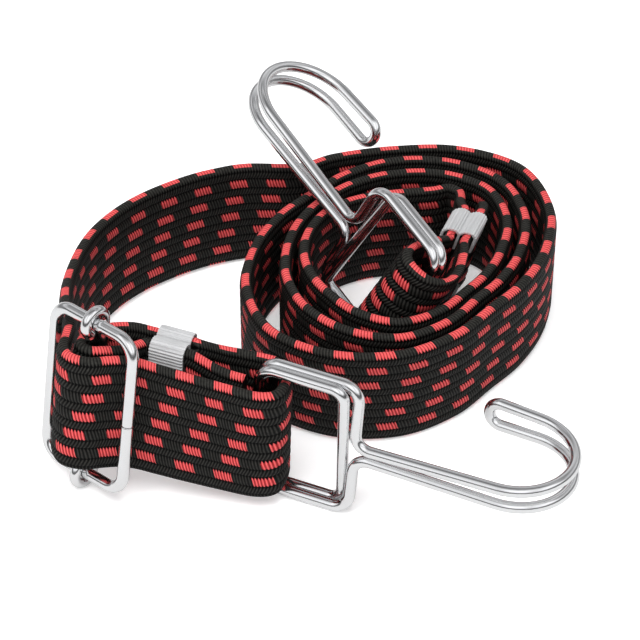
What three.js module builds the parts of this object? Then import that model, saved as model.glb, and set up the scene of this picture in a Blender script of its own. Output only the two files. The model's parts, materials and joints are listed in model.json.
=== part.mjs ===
// Elastic luggage strap: flat webbing standing on its edge, coiled, with a wire hook at each end.
// Lengths are in millimetres; X to the right, Y away from the viewer, Z up.
import * as THREE from 'three';

// Driving sizes
const strapWidth = 35;
const strapThickness = 3.6;
const strapEdgeChamfer = 1.0;
const coilSize = 46;
const hookWire = 3.0;
const ringLength = 26;
const ringRoom = 2.5;
const ringInset = 1.4;
const ringCornerRadius = 5;
const ringEndRadius = 4;
const neckRadius = 4.5;
const shankLength = 41;
const shankShift = -1.0;
const bendRadius = 16;
const returnLength = 14;
const bendHalfSpread = 3.4;
const tipHalfSpread = 3.8;
const frameWire = 3.5;
const frameWidth = 29;
const frameRoom = 6;
const frameCornerRadius = 5.5;
const barWire = 3.0;
const clipSheet = 0.7;
const clipCore = 0.8;
const clipLegDepth = 6.5;
const clipLength = 10;
const clipRidgeDepth = 0.25;
const clipCrownChamfer = 1.0;
const clipNotchDepth = 0.6;
const clipNotchWidth = 2.4;

// Clearances
const jointGap = 0.3;
const wireGap = 0.3;
const clipFit = 0.3;

// Finishes
const webbingColour = 0x221f1f;
const zincColour = 0xc9ccd0;
const aluminiumColour = 0xb9bbbd;

// Route of the webbing. Each row is the middle of the width in X and Y, the height of the
// lower edge, and how far the upper edge leans in X and Y, all as shares of the width.
const tailEndShares = [
  [1.2486, 0.3314, 0.0657, 0.1857, -0.0914],
  [1.2343, 0.2571, 0.0857, 0.2171, -0.0886],
];
const rearLoopShares = [
  [0.96, -0.3714, 0.1829, 0.4143, -0.0914],
  [0.88, -0.6114, 0.2057, 0.4657, -0.0714],
  [0.7771, -0.7771, 0.2486, 0.4657, -0.0714],
  [0.6171, -0.82, 0.3229, 0.4657, -0.0714],
  [0.4829, -0.7086, 0.3971, 0.4657, -0.0714],
  [0.4971, -0.5543, 0.4029, 0.4657, -0.0714],
  [0.68, -0.3714, 0.3086, 0.4, -0.0914],
];
const hairpinShares = [
  [1.0743, 0.3486, 0.0629, 0.1714, -0.0943],
  [1.1257, 0.4743, 0.0257, 0.0714, -0.1086],
  [1.1343, 0.56, 0.0057, 0.0171, -0.1143],
  [1.0571, 0.6171, 0, 0, -0.1143],
];
const arcShares = [
  [-0.1657, 0.8457, 0, 0, -0.0429],
  [-0.6086, 0.8143, 0.0057, 0, 0],
  [-0.9029, 0.7257, 0.0114, 0, 0.0086],
  [-1.1429, 0.6114, 0.0143, 0, 0.0143],
  [-1.4257, 0.4257, 0.0171, 0, 0.0171],
  [-1.6457, 0.2143, 0.0229, 0, 0.02],
  [-1.82, -0.0486, 0.0371, 0, 0.0257],
  [-1.9286, -0.3514, 0.0743, 0.0057, 0.0371],
  [-2, -0.7514, 0.14, 0.0171, 0.0571],
  [-2.0229, -1.0971, 0.2171, 0.0457, 0.1029],
  [-2.0057, -1.3543, 0.2743, 0.0743, 0.16],
];
const weaveShares = [
  [-1.9829, -1.5486, 0.3, 0.0914, 0.1886],
  [-1.9971, -1.7086, 0.3114, 0.0914, 0.1886],
  [-2.0171, -1.8629, 0.3143, 0.0914, 0.1886],
  [-1.9486, -1.9829, 0.3171, 0.0914, 0.1886],
  [-1.8057, -2.0286, 0.3143, 0.0914, 0.1886],
  [-1.6571, -2, 0.3029, 0.0886, 0.1829],
  [-1.5371, -1.9829, 0.2914, 0.08, 0.1714],
  [-1.4114, -1.9857, 0.2686, 0.0629, 0.1571],
];
const frontRunShares = [
  [-1.2571, -2.0143, 0.2343, 0.0486, 0.1457],
  [-1.0286, -2.0657, 0.1943, 0.0371, 0.1314],
  [-0.7657, -2.1143, 0.1457, 0.0286, 0.1143],
  [-0.5086, -2.18, 0.1229, 0.0286, 0.0914],
];
const frontLoopShares = [
  [-0.36, -2.1714, 0.1257, 0.0286, 0.0857],
  [-0.2914, -2.0657, 0.1257, 0.0286, 0.0857],
  [-0.2771, -1.9171, 0.1257, 0.0286, 0.0857],
  [-0.3543, -1.7886, 0.1286, 0.0286, 0.0857],
  [-0.5657, -1.72, 0.1343, 0.0286, 0.0943],
  [-0.76, -1.6829, 0.1457, 0.0343, 0.1143],
];
const innerLoopShares = [
  [-1.4857, -1.5543, 0.2629, 0.0686, 0.1657],
  [-1.6914, -1.5943, 0.2829, 0.0857, 0.1829],
  [-1.8343, -1.6914, 0.3029, 0.0914, 0.1886],
  [-1.8857, -1.82, 0.3114, 0.0914, 0.1886],
  [-1.8171, -1.8914, 0.3114, 0.0914, 0.1886],
  [-1.6971, -1.8857, 0.3029, 0.0914, 0.1886],
  [-1.5429, -1.84, 0.28, 0.0743, 0.1714],
];
const frontTailShares = [
  [-0.78, -1.9314, 0.1486, 0.0343, 0.1143],
  [-0.5886, -1.9886, 0.1229, 0.0286, 0.1],
];

// Coil: radii every eighth of a turn from the inner end outwards, as shares of the coil size
const coilRadiusShares = [
  0.72, 0.54, 0.56, 0.575, 0.6, 0.69, 0.575, 0.64,
  0.82, 0.74, 0.66, 0.68, 0.79, 0.83, 0.67, 0.76,
  0.94, 0.87, 0.75, 0.88, 1.09, 0.98, 0.79, 0.91,
  1.12, 0.985, 1,
];
const coilCentreShares = [0.47826, -0.13043];
const coilLeanShare = -0.11429;
const coilRadiiPerTurn = 8;
const coilRowsPerTurn = 16;
const coilFirst = 0.5;
const coilEnd = coilRadiusShares.length - 1 - coilFirst;

// Places where two layers of webbing run side by side through a pair of clips
const rearClipShares = [1.0514, 0.0057, 0.1143, 0.2571, -0.0857];
const rearClipHeading = [0.36, 0.93];
const frontClipShares = [-1.16, -1.7057, 0.2286, 0.0486, 0.1486];
const frontClipHeading = [0.93, -0.37];

// Mapping from the flat webbing to its place
const flatVector = (row) => new THREE.Vector3(row[0] * strapWidth, row[1] * strapWidth, row[2] * strapWidth);
const leanVector = (row) => new THREE.Vector3(row[3] * strapWidth, row[4] * strapWidth, 0);

function placeOnStrap(middle, lean, heading, across, along, up) {
  const side = new THREE.Vector3(-heading.y, heading.x, 0);
  const height = Math.sqrt(strapWidth ** 2 - lean.x ** 2 - lean.y ** 2);
  const share = up / strapWidth;
  return middle.clone()
    .addScaledVector(heading, along)
    .addScaledVector(side, across)
    .addScaledVector(lean, share - 0.5)
    .add(new THREE.Vector3(0, 0, height * share));
}

// Clip passes
const clipChannel = strapThickness + 2 * clipFit;
const clipSpacing = clipChannel + clipCore;
const clipLeadIn = 2.0;

function clipPass(shares, direction, side, backwards) {
  const heading = new THREE.Vector3(direction[0], direction[1], 0).normalize();
  const across = new THREE.Vector3(-heading.y, heading.x, 0);
  const centre = flatVector(shares).addScaledVector(across, side * clipSpacing / 2);
  const stops = [-clipLength / 2 - clipLeadIn, -clipLength / 2, clipLength / 2, clipLength / 2 + clipLeadIn];
  if (backwards) {
    stops.reverse();
  }
  return stops.map((along) => {
    const point = centre.clone().addScaledVector(heading, along);
    return [point.x / strapWidth, point.y / strapWidth, shares[2], shares[3], shares[4]];
  });
}

// Coil rows at even steps of a turn
const curveTension = 0.5;
const coilRadii = coilRadiusShares.map((share) => new THREE.Vector3(share * coilSize, 0, 0));
const coilCurve = new THREE.CatmullRomCurve3(coilRadii, false, 'catmullrom', curveTension);
const coilRows = [];
const coilRowCount = Math.floor((coilEnd - coilFirst) * coilRowsPerTurn / coilRadiiPerTurn);
for (let row = 0; row <= coilRowCount; row += 1) {
  const radiusIndex = coilFirst + row * coilRadiiPerTurn / coilRowsPerTurn;
  const radius = coilCurve.getPoint(radiusIndex / (coilRadiusShares.length - 1)).x;
  const angle = (radiusIndex + 1) * 2 * Math.PI / coilRadiiPerTurn;
  coilRows.push([
    (coilCentreShares[0] * coilSize + radius * Math.cos(angle)) / strapWidth,
    (coilCentreShares[1] * coilSize + radius * Math.sin(angle)) / strapWidth,
    0, 0, coilLeanShare]);
}

// The whole route, from the cut end behind the rear clip to the cut end behind the front one
const routeParts = [
  tailEndShares,
  clipPass(rearClipShares, rearClipHeading, -1, true),
  rearLoopShares,
  clipPass(rearClipShares, rearClipHeading, 1, false),
  hairpinShares,
  coilRows,
  arcShares,
  weaveShares,
  frontRunShares,
  frontLoopShares,
  clipPass(frontClipShares, frontClipHeading, 1, true),
  innerLoopShares,
  clipPass(frontClipShares, frontClipHeading, -1, false),
  frontTailShares,
];
const route = routeParts.flat();
const firstRowOf = (rows) => routeParts.slice(0, routeParts.indexOf(rows)).flat().length;
const lastRow = route.length - 1;
const middleCurve = new THREE.CatmullRomCurve3(route.map(flatVector), false, 'catmullrom', curveTension);
const leanCurve = new THREE.CatmullRomCurve3(route.map(leanVector), false, 'catmullrom', curveTension);

function strapStation(row) {
  const share = Math.min(Math.max(row / lastRow, 0), 1);
  const tangent = middleCurve.getTangent(share);
  const heading = new THREE.Vector3(tangent.x, tangent.y, 0).normalize();
  return { middle: middleCurve.getPoint(share), lean: leanCurve.getPoint(share), heading };
}

function rowsPerMillimetre(row) {
  const step = 0.01;
  const length = strapStation(row + step).middle.distanceTo(strapStation(row - step).middle);
  return 2 * step / length;
}

// Webbing between two rows of the route
const ringsPerRow = 2;
const halfThickness = strapThickness / 2;
const sectionCorners = [
  [-halfThickness, strapEdgeChamfer],
  [-halfThickness + strapEdgeChamfer, 0],
  [halfThickness - strapEdgeChamfer, 0],
  [halfThickness, strapEdgeChamfer],
  [halfThickness, strapWidth - strapEdgeChamfer],
  [halfThickness - strapEdgeChamfer, strapWidth],
  [-halfThickness + strapEdgeChamfer, strapWidth],
  [-halfThickness, strapWidth - strapEdgeChamfer],
];

function strapGeometry(firstRow, endRow) {
  const start = firstRow === 0 ? 0 : firstRow + rowsPerMillimetre(firstRow) * jointGap / 2;
  const end = endRow === lastRow ? lastRow : endRow - rowsPerMillimetre(endRow) * jointGap / 2;
  const rows = [start];
  for (let step = firstRow * ringsPerRow + 1; step < endRow * ringsPerRow; step += 1) {
    rows.push(step / ringsPerRow);
  }
  rows.push(end);
  const positions = [];
  for (const row of rows) {
    const { middle, lean, heading } = strapStation(row);
    for (const [across, up] of sectionCorners) {
      positions.push(...placeOnStrap(middle, lean, heading, across, 0, up).toArray());
    }
  }
  const corners = sectionCorners.length;
  const index = [];
  for (let ring = 0; ring + 1 < rows.length; ring += 1) {
    for (let corner = 0; corner < corners; corner += 1) {
      const here = ring * corners + corner;
      const next = ring * corners + (corner + 1) % corners;
      index.push(here, next, here + corners, next, next + corners, here + corners);
    }
  }
  const lastRing = (rows.length - 1) * corners;
  for (let corner = 1; corner + 1 < corners; corner += 1) {
    index.push(0, corner + 1, corner);
    index.push(lastRing, lastRing + corner, lastRing + corner + 1);
  }
  const geometry = new THREE.BufferGeometry();
  geometry.setAttribute('position', new THREE.Float32BufferAttribute(positions, 3));
  geometry.setIndex(index);
  geometry.computeVertexNormals();
  return geometry;
}

// A bent wire: straight lines with rounded corners, swept with a round section
class WirePath extends THREE.Curve {
  constructor(points) {
    super();
    this.points = points;
  }

  stationAt(share) {
    return Math.min(Math.max(Math.round(share * (this.points.length - 1)), 0), this.points.length - 1);
  }

  getPoint(share, target = new THREE.Vector3()) {
    return target.copy(this.points[this.stationAt(share)]);
  }

  getPointAt(share, target = new THREE.Vector3()) {
    return this.getPoint(share, target);
  }

  getTangent(share, target = new THREE.Vector3()) {
    const station = this.stationAt(share);
    const here = this.points[station];
    const before = this.points[Math.max(station - 1, 0)];
    const after = this.points[Math.min(station + 1, this.points.length - 1)];
    const incoming = here.clone().sub(before).normalize();
    const outgoing = after.clone().sub(here).normalize();
    return target.copy(incoming.add(outgoing)).normalize();
  }

  getTangentAt(share, target = new THREE.Vector3()) {
    return this.getTangent(share, target);
  }
}

const cornerStepsPerTurn = 16;

function roundedPath(corners) {
  const points = [corners[0].at.clone()];
  for (let index = 1; index + 1 < corners.length; index += 1) {
    const corner = corners[index].at;
    const toBefore = corners[index - 1].at.clone().sub(corner).normalize();
    const toAfter = corners[index + 1].at.clone().sub(corner).normalize();
    const opening = toBefore.angleTo(toAfter);
    const turn = Math.PI - opening;
    const radius = corners[index].radius;
    const reach = radius / Math.tan(opening / 2);
    const inward = toBefore.clone().add(toAfter).normalize();
    const centre = corner.clone().addScaledVector(inward, radius / Math.sin(opening / 2));
    const start = corner.clone().addScaledVector(toBefore, reach).sub(centre);
    const end = corner.clone().addScaledVector(toAfter, reach).sub(centre);
    const steps = Math.max(1, Math.round(turn * cornerStepsPerTurn / (2 * Math.PI)));
    for (let step = 0; step <= steps; step += 1) {
      const share = step / steps;
      const fromStart = Math.sin((1 - share) * turn) / Math.sin(turn);
      const fromEnd = Math.sin(share * turn) / Math.sin(turn);
      points.push(centre.clone().addScaledVector(start, fromStart).addScaledVector(end, fromEnd));
    }
  }
  points.push(corners[corners.length - 1].at.clone());
  return points;
}

const wireSides = 8;

function wireGeometry(points, diameter) {
  const outline = [];
  for (let side = 0; side < wireSides; side += 1) {
    const angle = 2 * Math.PI * side / wireSides;
    outline.push(new THREE.Vector2(diameter / 2 * Math.cos(angle), diameter / 2 * Math.sin(angle)));
  }
  const section = new THREE.Shape(outline);
  const path = new WirePath(points);
  const steps = points.length - 1;
  return new THREE.ExtrudeGeometry(section, { steps, extrudePath: path, bevelEnabled: false });
}

const corner = (x, y, z, radius) => ({ at: new THREE.Vector3(x, y, z), radius });

// Hook: one wire, its two ends wound round as a ring of two turns and meeting in the webbing's bar.
// X runs from the bar to the bend, Y to the open side.
const ringHeight = strapWidth + 2 * ringRoom;
const mouthFlareDegrees = 4;
const mouthFlare = THREE.MathUtils.degToRad(mouthFlareDegrees);
const tipRadiusShare = 0.947;
const tipRadius = tipHalfSpread * tipRadiusShare;
const wirePitch = hookWire + wireGap;
const halfPitch = wirePitch / 2;

function hookPoints() {
  const half = ringHeight / 2;
  const innerX = ringLength - ringInset;
  const neckX = innerX + wirePitch;
  const bendX = ringLength + shankLength + bendRadius + halfPitch;
  const rise = bendRadius * (1 - Math.sin(mouthFlare));
  const turnY = bendRadius + bendRadius * Math.cos(mouthFlare) - rise * Math.tan(mouthFlare);
  const tipX = bendX - (bendRadius + returnLength) * Math.cos(mouthFlare);
  const tipY = turnY + (bendRadius + returnLength) * Math.sin(mouthFlare);
  return roundedPath([
    corner(0, halfPitch, jointGap / 2, 0),
    corner(0, halfPitch, half, ringCornerRadius),
    corner(neckX, halfPitch, half, ringCornerRadius),
    corner(neckX, 0, shankShift + halfPitch, neckRadius),
    corner(bendX, 0, shankShift + bendHalfSpread, bendRadius),
    corner(bendX, turnY, shankShift + bendHalfSpread, bendRadius),
    corner(tipX, tipY, shankShift + tipHalfSpread, tipRadius),
    corner(tipX, tipY, shankShift - tipHalfSpread, tipRadius),
    corner(bendX, turnY, shankShift - bendHalfSpread, bendRadius),
    corner(bendX, 0, shankShift - bendHalfSpread, bendRadius),
    corner(neckX, 0, shankShift - halfPitch, neckRadius),
    corner(neckX, -halfPitch, -half, ringCornerRadius),
    corner(0, -halfPitch, -half, ringCornerRadius),
    corner(0, -halfPitch, half, ringCornerRadius),
    corner(innerX, -halfPitch, half, ringEndRadius),
    corner(innerX, halfPitch, -half, ringEndRadius),
    corner(0, halfPitch, -half, ringCornerRadius),
    corner(0, halfPitch, -jointGap / 2, 0),
  ]);
}

function placeByAxes(mesh, alongShares, acrossShares, atShares) {
  const along = new THREE.Vector3(...alongShares).normalize();
  const up = along.clone().cross(new THREE.Vector3(...acrossShares)).normalize();
  const across = up.clone().cross(along);
  mesh.quaternion.setFromRotationMatrix(new THREE.Matrix4().makeBasis(along, across, up));
  mesh.position.set(atShares[0], atShares[1], atShares[2]).multiplyScalar(strapWidth);
}

// Slider frame: one wire bent to a rectangle, its ends meeting in the right upright
const frameHeight = strapWidth + 2 * frameRoom;
const frameButtShare = -0.04;

function framePoints() {
  const halfWidth = frameWidth / 2;
  const halfHeight = frameHeight / 2;
  const butt = frameButtShare * frameHeight;
  return roundedPath([
    corner(halfWidth, 0, butt + jointGap / 2, 0),
    corner(halfWidth, 0, halfHeight, frameCornerRadius),
    corner(-halfWidth, 0, halfHeight, frameCornerRadius),
    corner(-halfWidth, 0, -halfHeight, frameCornerRadius),
    corner(halfWidth, 0, -halfHeight, frameCornerRadius),
    corner(halfWidth, 0, butt - jointGap / 2, 0),
  ]);
}

// Slider bar: a straight wire with an open eye at each end, gripping the frame's short sides
const eyeRadius = frameWire / 2 + wireGap + barWire / 2;
const eyeTurnDegrees = 255;
const eyeTurn = THREE.MathUtils.degToRad(eyeTurnDegrees);
const eyeSteps = 12;

function eyePoint(angle, height) {
  return new THREE.Vector3(0, eyeRadius * Math.cos(angle), height + eyeRadius * Math.sin(angle));
}

function barPoints() {
  const points = [];
  for (let step = 0; step <= eyeSteps; step += 1) {
    const angle = eyeTurn * (1 - step / eyeSteps);
    points.push(eyePoint(angle, frameHeight / 2));
  }
  for (let step = 0; step <= eyeSteps; step += 1) {
    const angle = -eyeTurn * step / eyeSteps;
    points.push(eyePoint(angle, -frameHeight / 2));
  }
  return points;
}

// Clip: folded sheet with a rounded lobe over each layer and fine ridges down the outside
const clipRidges = 6;
const clipValleyShare = 0.5;

function clipGeometry(shares, direction, atTop) {
  const half = clipSpacing / 2 + clipChannel / 2 + clipSheet;
  const crown = clipFit + clipSheet;
  const outline = [[-half, crown - clipCrownChamfer], [-half + clipCrownChamfer, crown]];
  outline.push([-clipNotchWidth / 2, crown], [0, crown - clipNotchDepth], [clipNotchWidth / 2, crown]);
  outline.push([half - clipCrownChamfer, crown]);
  const ridgeTop = crown - clipCrownChamfer;
  const ridgePitch = (ridgeTop + clipLegDepth) / clipRidges;
  for (let ridge = 0; ridge < clipRidges; ridge += 1) {
    outline.push([half, ridgeTop - ridge * ridgePitch]);
    outline.push([half - clipRidgeDepth, ridgeTop - (ridge + clipValleyShare) * ridgePitch]);
  }
  outline.push([half, -clipLegDepth], [half - clipSheet, -clipLegDepth], [half - clipSheet, clipFit]);
  outline.push([clipCore / 2, clipFit], [clipCore / 2, -clipLegDepth], [-clipCore / 2, -clipLegDepth]);
  outline.push([-clipCore / 2, clipFit], [-half + clipSheet, clipFit], [-half + clipSheet, -clipLegDepth]);
  for (let ridge = clipRidges; ridge > 0; ridge -= 1) {
    outline.push([-half, ridgeTop - ridge * ridgePitch]);
    outline.push([-half + clipRidgeDepth, ridgeTop - (ridge - clipValleyShare) * ridgePitch]);
  }
  const sign = atTop ? 1 : -1;
  const edge = atTop ? strapWidth : 0;
  const shape = new THREE.Shape(outline.map(([across, up]) => new THREE.Vector2(across, edge + sign * up)));
  const geometry = new THREE.ExtrudeGeometry(shape, { depth: clipLength, bevelEnabled: false });
  const middle = flatVector(shares);
  const lean = leanVector(shares);
  const heading = new THREE.Vector3(direction[0], direction[1], 0).normalize();
  const position = geometry.getAttribute('position');
  for (let index = 0; index < position.count; index += 1) {
    const along = position.getZ(index) - clipLength / 2;
    const point = placeOnStrap(middle, lean, heading, position.getX(index), along, position.getY(index));
    position.setXYZ(index, point.x, point.y, point.z);
  }
  geometry.computeVertexNormals();
  return geometry;
}

// Least gap of the webbing to itself, measured on its lower edge, middle line and upper edge
function leastGap(firstRow, endRow, label) {
  const pointsPerRow = 4;
  const layersApart = 3;
  let least = Infinity;
  for (const up of [0, strapWidth / 2, strapWidth]) {
    const points = [];
    const lengths = [0];
    for (let step = firstRow * pointsPerRow; step <= endRow * pointsPerRow; step += 1) {
      const { middle, lean, heading } = strapStation(step / pointsPerRow);
      points.push(placeOnStrap(middle, lean, heading, 0, 0, up));
      const last = points.length - 1;
      if (last > 0) {
        lengths.push(lengths[last - 1] + points[last].distanceTo(points[last - 1]));
      }
    }
    const nearest = new THREE.Vector3();
    const segment = new THREE.Line3();
    for (let here = 0; here < points.length; here += 1) {
      for (let other = 0; other + 1 < points.length; other += 1) {
        const toStart = Math.abs(lengths[here] - lengths[other]);
        const toEnd = Math.abs(lengths[here] - lengths[other + 1]);
        if (Math.min(toStart, toEnd) >= layersApart * strapThickness) {
          segment.set(points[other], points[other + 1]).closestPointToPoint(points[here], true, nearest);
          least = Math.min(least, nearest.distanceTo(points[here]) - strapThickness);
        }
      }
    }
  }
  console.log(`${label}: least gap of the webbing to itself ${least.toFixed(2)} mm`);
}

// Materials
function finish(color, roughness, metalness) {
  return new THREE.MeshStandardMaterial({ color, roughness, metalness });
}

const webbing = () => finish(webbingColour, 0.85, 0);
const zinc = () => finish(zincColour, 0.18, 1);
const aluminium = () => finish(aluminiumColour, 0.4, 1);

// Assembly
const placed = new THREE.Group();
placed.name = 'placed';

function addMesh(name, geometry, material) {
  const mesh = new THREE.Mesh(geometry, material);
  mesh.name = name;
  placed.add(mesh);
  return mesh;
}

// Webbing in four lengths, each flat edge down
const coilStart = firstRowOf(coilRows);
const arcStart = firstRowOf(arcShares);
const runStart = firstRowOf(weaveShares);
addMesh('strap_rear_loop', strapGeometry(0, coilStart), webbing());
addMesh('strap_coil', strapGeometry(coilStart, arcStart), webbing());
addMesh('strap_arc', strapGeometry(arcStart, runStart), webbing());
addMesh('strap_run', strapGeometry(runStart, lastRow), webbing());
leastGap(coilStart, arcStart, 'coil');
leastGap(0, coilStart, 'rear loop');
leastGap(runStart, lastRow, 'run');
leastGap(0, lastRow, 'whole route');

// Hooks. Each place is the direction of the shank, the direction of the open side, and the
// middle of the ring's bar as shares of the webbing's width
const frontHookPlaceShares = [[0.920, -0.391, -0.020], [0.389, 0.9185, -0.071], [-0.4691, -1.9229, 0.6314]];
const rearHookPlaceShares = [[-0.580, 0.733, 0.355], [0.672, 0.677, -0.300], [0.7114, -0.6514, 0.7343]];
const frontHook = addMesh('front_hook', wireGeometry(hookPoints(), hookWire), zinc());
placeByAxes(frontHook, ...frontHookPlaceShares);
const rearHook = addMesh('rear_hook', wireGeometry(hookPoints(), hookWire), zinc());
placeByAxes(rearHook, ...rearHookPlaceShares);

// Slider, placed in the same way by the frame's width, its thickness and the frame's middle
const sliderPlaceShares = [[0.746, -0.663, 0.059], [0.658, 0.7215, -0.213], [-1.7886, -1.84, 0.7990]];
const frame = addMesh('slider_frame', wireGeometry(framePoints(), frameWire), zinc());
placeByAxes(frame, ...sliderPlaceShares);
const bar = addMesh('slider_bar', wireGeometry(barPoints(), barWire), zinc());
placeByAxes(bar, ...sliderPlaceShares);

// Clips
addMesh('slider_clip_top', clipGeometry(frontClipShares, frontClipHeading, true), aluminium());
addMesh('slider_clip_bottom', clipGeometry(frontClipShares, frontClipHeading, false), aluminium());
addMesh('rear_clip_top', clipGeometry(rearClipShares, rearClipHeading, true), aluminium());
addMesh('rear_clip_bottom', clipGeometry(rearClipShares, rearClipHeading, false), aluminium());

// Rest the lowest point on the floor, with the middle of the outline at the origin
placed.updateMatrixWorld(true);
const bounds = new THREE.Box3().setFromObject(placed, true);
const middlePoint = bounds.getCenter(new THREE.Vector3());
placed.position.set(-middlePoint.x, -middlePoint.y, -bounds.min.z);

const part = new THREE.Group();
part.name = 'luggage_strap';
part.add(placed);
part.updateMatrixWorld(true);

export default part;
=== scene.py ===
import json
import math
import bpy
import numpy as np
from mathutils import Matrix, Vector


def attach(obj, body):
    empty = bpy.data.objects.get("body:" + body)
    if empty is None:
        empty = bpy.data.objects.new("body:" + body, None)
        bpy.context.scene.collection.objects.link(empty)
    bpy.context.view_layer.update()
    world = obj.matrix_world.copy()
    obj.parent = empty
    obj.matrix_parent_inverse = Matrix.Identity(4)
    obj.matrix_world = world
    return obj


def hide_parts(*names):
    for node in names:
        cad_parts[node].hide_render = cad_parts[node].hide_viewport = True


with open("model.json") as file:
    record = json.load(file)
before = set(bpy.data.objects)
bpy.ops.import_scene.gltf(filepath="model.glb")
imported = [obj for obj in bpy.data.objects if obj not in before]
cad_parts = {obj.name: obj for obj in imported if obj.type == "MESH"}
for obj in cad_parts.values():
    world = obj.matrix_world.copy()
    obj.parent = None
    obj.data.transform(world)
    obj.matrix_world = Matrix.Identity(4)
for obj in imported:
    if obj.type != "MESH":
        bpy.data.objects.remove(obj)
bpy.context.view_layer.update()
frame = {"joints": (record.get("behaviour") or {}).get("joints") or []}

# Webbing: one flat band of woven elastic, 35 mm wide, standing on its edge. Rubber strands run
# inside it lengthwise and show as ribs; every second rib carries red dashes, stepped from row to row.
strap_width = 0.035
strap_thickness = 0.0036
layer_spacing = 0.005
clip_length = 0.010
clip_lead = 0.002

# The route's rows hold X and Y of the middle of the width, the height of the lower edge, and how far
# the upper edge leans in X and Y. The front hook's hinge, known in the route's own axes and in the
# frame's, gives the shift from one to the other.
front_hook_at = (-0.01642, -0.0673, 0.0221)
hinges = {joint["name"]: np.array(joint["pos_m"]) for joint in frame["joints"] if "pos_m" in joint}
frame_shift = hinges["front_hook_swing"] - np.array(front_hook_at)
front_clip, front_clip_heading = (-0.0406, -0.0597, 0.008, 0.0017, 0.0052), (0.93, -0.37)
rear_clip, rear_clip_heading = (0.0368, 0.0002, 0.004, 0.009, -0.003), (0.36, 0.93)
tail_end = np.array([
    (0.0437, 0.0116, 0.0023, 0.0065, -0.0032), (0.0432, 0.009, 0.003, 0.0076, -0.0031),
])
rear_loop = np.array([
    (0.0336, -0.013, 0.0064, 0.0145, -0.0032), (0.0308, -0.0214, 0.0072, 0.0163, -0.0025),
    (0.0272, -0.0272, 0.0087, 0.0163, -0.0025), (0.0216, -0.0287, 0.0113, 0.0163, -0.0025),
    (0.0169, -0.0248, 0.0139, 0.0163, -0.0025), (0.0174, -0.0194, 0.0141, 0.0163, -0.0025),
    (0.0238, -0.013, 0.0108, 0.014, -0.0032),
])
hairpin = np.array([
    (0.0376, 0.0122, 0.0022, 0.006, -0.0033), (0.0394, 0.0166, 0.0009, 0.0025, -0.0038),
    (0.0397, 0.0196, 0.0002, 0.0006, -0.004), (0.037, 0.0216, 0, 0, -0.004),
])
coil_centre = (0.022, -0.006)
coil_lean = -0.004
coil_size = 0.046
coil_radii = coil_size * np.array([
    0.72, 0.54, 0.56, 0.575, 0.6, 0.69, 0.575, 0.64, 0.82,
    0.74, 0.66, 0.68, 0.79, 0.83, 0.67, 0.76, 0.94, 0.87,
    0.75, 0.88, 1.09, 0.98, 0.79, 0.91, 1.12, 0.985, 1,
])
coil_steps = 50
eighth_turn = math.pi / 4
arc = np.array([
    (-0.0058, 0.0296, 0, 0, -0.0015), (-0.0213, 0.0285, 0.0002, 0, 0),
    (-0.0316, 0.0254, 0.0004, 0, 0.0003),
    (-0.04, 0.0214, 0.0005, 0, 0.0005), (-0.0499, 0.0149, 0.0006, 0, 0.0006),
    (-0.0576, 0.0075, 0.0008, 0, 0.0007), (-0.0637, -0.0017, 0.0013, 0, 0.0009),
    (-0.0675, -0.0123, 0.0026, 0.0002, 0.0013), (-0.07, -0.0263, 0.0049, 0.0006, 0.002),
    (-0.0708, -0.0384, 0.0076, 0.0016, 0.0036), (-0.0702, -0.0474, 0.0096, 0.0026, 0.0056),
])
weave = np.array([
    (-0.0694, -0.0542, 0.0105, 0.0032, 0.0066), (-0.0699, -0.0598, 0.0109, 0.0032, 0.0066),
    (-0.0706, -0.0652, 0.011, 0.0032, 0.0066), (-0.0682, -0.0694, 0.0111, 0.0032, 0.0066),
    (-0.0632, -0.071, 0.011, 0.0032, 0.0066), (-0.058, -0.07, 0.0106, 0.0031, 0.0064),
    (-0.0538, -0.0694, 0.0102, 0.0028, 0.006), (-0.0494, -0.0695, 0.0094, 0.0022, 0.0055),
])
front_run = np.array([
    (-0.044, -0.0705, 0.0082, 0.0017, 0.0051), (-0.036, -0.0723, 0.0068, 0.0013, 0.0046),
    (-0.0268, -0.074, 0.0051, 0.001, 0.004), (-0.0178, -0.0763, 0.0043, 0.001, 0.0032),
])
front_loop = np.array([
    (-0.0126, -0.076, 0.0044, 0.001, 0.003), (-0.0102, -0.0723, 0.0044, 0.001, 0.003),
    (-0.0097, -0.0671, 0.0044, 0.001, 0.003), (-0.0124, -0.0626, 0.0045, 0.001, 0.003),
    (-0.0198, -0.0602, 0.0047, 0.001, 0.0033), (-0.0266, -0.0589, 0.0051, 0.0012, 0.004),
])
inner_loop = np.array([
    (-0.052, -0.0544, 0.0092, 0.0024, 0.0058), (-0.0592, -0.0558, 0.0099, 0.003, 0.0064),
    (-0.0642, -0.0592, 0.0106, 0.0032, 0.0066), (-0.066, -0.0637, 0.0109, 0.0032, 0.0066),
    (-0.0636, -0.0662, 0.0109, 0.0032, 0.0066), (-0.0594, -0.066, 0.0106, 0.0032, 0.0066),
    (-0.054, -0.0644, 0.0098, 0.0026, 0.006),
])
front_tail = np.array([
    (-0.0273, -0.0676, 0.0052, 0.0012, 0.004), (-0.0206, -0.0696, 0.0043, 0.001, 0.0035),
])


def clip_pass(clip, direction, side, backwards):
    """Four route rows in a straight line through a clip: its centre, moved half the layers' spacing
    to one side, plus steps along the clip's direction."""
    along = np.array(direction) / np.linalg.norm(direction)
    across = np.array([-along[1], along[0]])
    centre = np.array(clip[:2]) + across * side * layer_spacing / 2
    end = clip_length / 2
    stops = np.array([-end - clip_lead, -end, end, end + clip_lead])
    if backwards:
        stops = stops[::-1]
    points = centre + stops[:, None] * along
    return np.column_stack([points, np.tile(clip[2:], (len(stops), 1))])


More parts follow.
